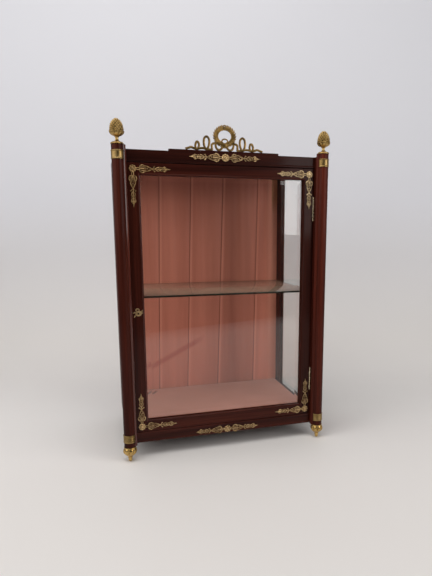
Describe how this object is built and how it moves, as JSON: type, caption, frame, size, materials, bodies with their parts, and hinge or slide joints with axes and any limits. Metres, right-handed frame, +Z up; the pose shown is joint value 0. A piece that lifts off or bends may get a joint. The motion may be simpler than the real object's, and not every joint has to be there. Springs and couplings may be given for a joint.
{
  "type": "wall display cabinet",
  "caption": "Glazed wall display cabinet with round corner columns, a hinged bevelled-glass door, glass sides, a pleated silk back, a glass shelf and gilt mounts.",
  "frame": {"origin": "middle of the back panel's rear face, where it lies on the wall", "axes": "+Y out of the back into the wall, +Z up, the door faces -Y"},
  "size_m": [0.5434, 0.3452, 0.8221],
  "materials": {
    "mahogany": "polished",
    "gilt_bronze": "gilt",
    "brass": "satin",
    "steel": "satin",
    "clear_glass": "clear",
    "pink_silk": "silk",
    "pink_cloth": "matt"
  },
  "bodies": {
    "case": {"back_panel": "mahogany", "back_post_left": "mahogany", "back_post_right": "mahogany", "bottom_board": "mahogany", "bottom_rail": "mahogany", "bottom_rail_mount": "gilt_bronze", "column_left": "mahogany", "column_right": "mahogany", "drop_foot_left": "gilt_bronze", "drop_foot_right": "gilt_bronze", "floor_pad": "pink_cloth", "front_post_left": "mahogany", "front_post_right": "mahogany", "glass_shelf": "clear_glass", "hanging_plate_left": "steel", "hanging_plate_right": "steel", "hinge_pin_lower": "brass", "hinge_pin_upper": "brass", "hinge_post_leaf_lower": "brass", "hinge_post_leaf_upper": "brass", "lower_collar_left": "gilt_bronze", "lower_collar_right": "gilt_bronze", "pine_cone_finial_left": "gilt_bronze", "pine_cone_finial_right": "gilt_bronze", "shelf_pin_back_left": "brass", "shelf_pin_back_right": "brass", "shelf_pin_front_left": "brass", "shelf_pin_front_right": "brass", "side_bottom_rail_left": "mahogany", "side_bottom_rail_right": "mahogany", "side_glass_left": "clear_glass", "side_glass_right": "clear_glass", "side_top_rail_left": "mahogany", "side_top_rail_right": "mahogany", "silk_back_lining": "pink_silk", "strike_plate": "brass", "top_board": "mahogany", "top_rail": "mahogany", "top_rail_mount": "gilt_bronze", "upper_collar_left": "gilt_bronze", "upper_collar_right": "gilt_bronze", "wreath_crest": "gilt_bronze"},
    "door": {"corner_mount_lower_left": "gilt_bronze", "corner_mount_lower_right": "gilt_bronze", "corner_mount_upper_left": "gilt_bronze", "corner_mount_upper_right": "gilt_bronze", "door_bottom_rail": "mahogany", "door_glass": "clear_glass", "door_stile_left": "mahogany", "door_stile_right": "mahogany", "door_top_rail": "mahogany", "escutcheon": "gilt_bronze", "glazing_bead_bottom": "mahogany", "glazing_bead_left": "mahogany", "glazing_bead_right": "mahogany", "glazing_bead_top": "mahogany", "hinge_door_leaf_lower": "brass", "hinge_door_leaf_upper": "brass", "lock_case": "brass"},
    "lock_bolt": {"lock_bolt": "steel"}
  },
  "joints": [
    {"name": "door_hinge", "type": "hinge", "parent": "case", "child": "door", "pos_m": [0.23395, -0.31905, 0], "axis": [0, 0, 1], "range_deg": [0, 90]},
    {"name": "bolt_slide", "type": "slide", "parent": "door", "child": "lock_bolt", "axis": [-1, 0, 0], "range_m": [0, 0.006]}
  ]
}
